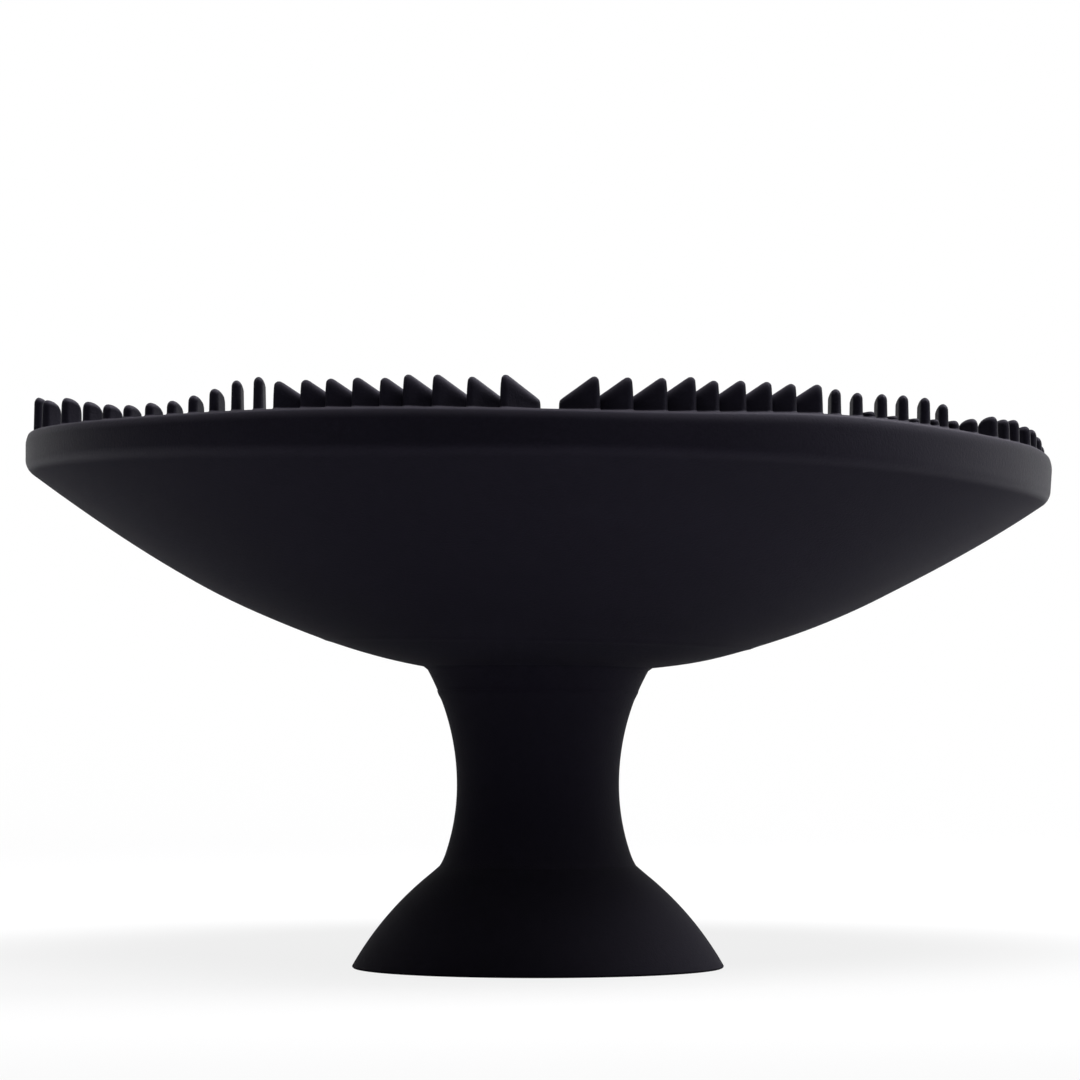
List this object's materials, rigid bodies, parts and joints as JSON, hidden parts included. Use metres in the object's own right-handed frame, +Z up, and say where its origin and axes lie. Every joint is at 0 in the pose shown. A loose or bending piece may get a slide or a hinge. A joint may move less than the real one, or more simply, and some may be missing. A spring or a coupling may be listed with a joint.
{
  "type": "hair color bowl",
  "caption": "Wide shallow silicone bowl for mixing hair color, with a finned rim to wipe a brush, on a waisted stem that ends in a suction foot.",
  "frame": {"origin": "middle of the suction foot's underside, on the surface that the bowl stands on", "axes": "+Z up the stem's axis; -Y towards the front gap between the two strips of fins; +X to the right of that view"},
  "size_m": [0.1492, 0.1492, 0.0808],
  "materials": {
    "black_silicone": "matte moulded silicone with a fine grain",
    "zinc_steel": "zinc plated",
    "turned_brass": "turned",
    "grey_nylon": "moulded"
  },
  "bodies": {
    "foot": {"suction_foot": "black_silicone"},
    "bowl": {"bowl_dish": "black_silicone", "comb_strip_left": "black_silicone", "comb_strip_right": "black_silicone", "stem_sleeve": "black_silicone", "rim_hoop": "zinc_steel", "dish_insert": "turned_brass", "stem_core": "grey_nylon", "clamp_screw": "zinc_steel", "screw_washer": "zinc_steel"}
  },
  "joints": [
    {"name": "suction_press", "type": "slide", "parent": "foot", "child": "bowl", "axis": [0, 0, 1], "range_m": [-0.003, 0], "stiffness_N_per_m": 4000, "springref_m": 0.001, "deforming": ["suction_foot"]}
  ]
}
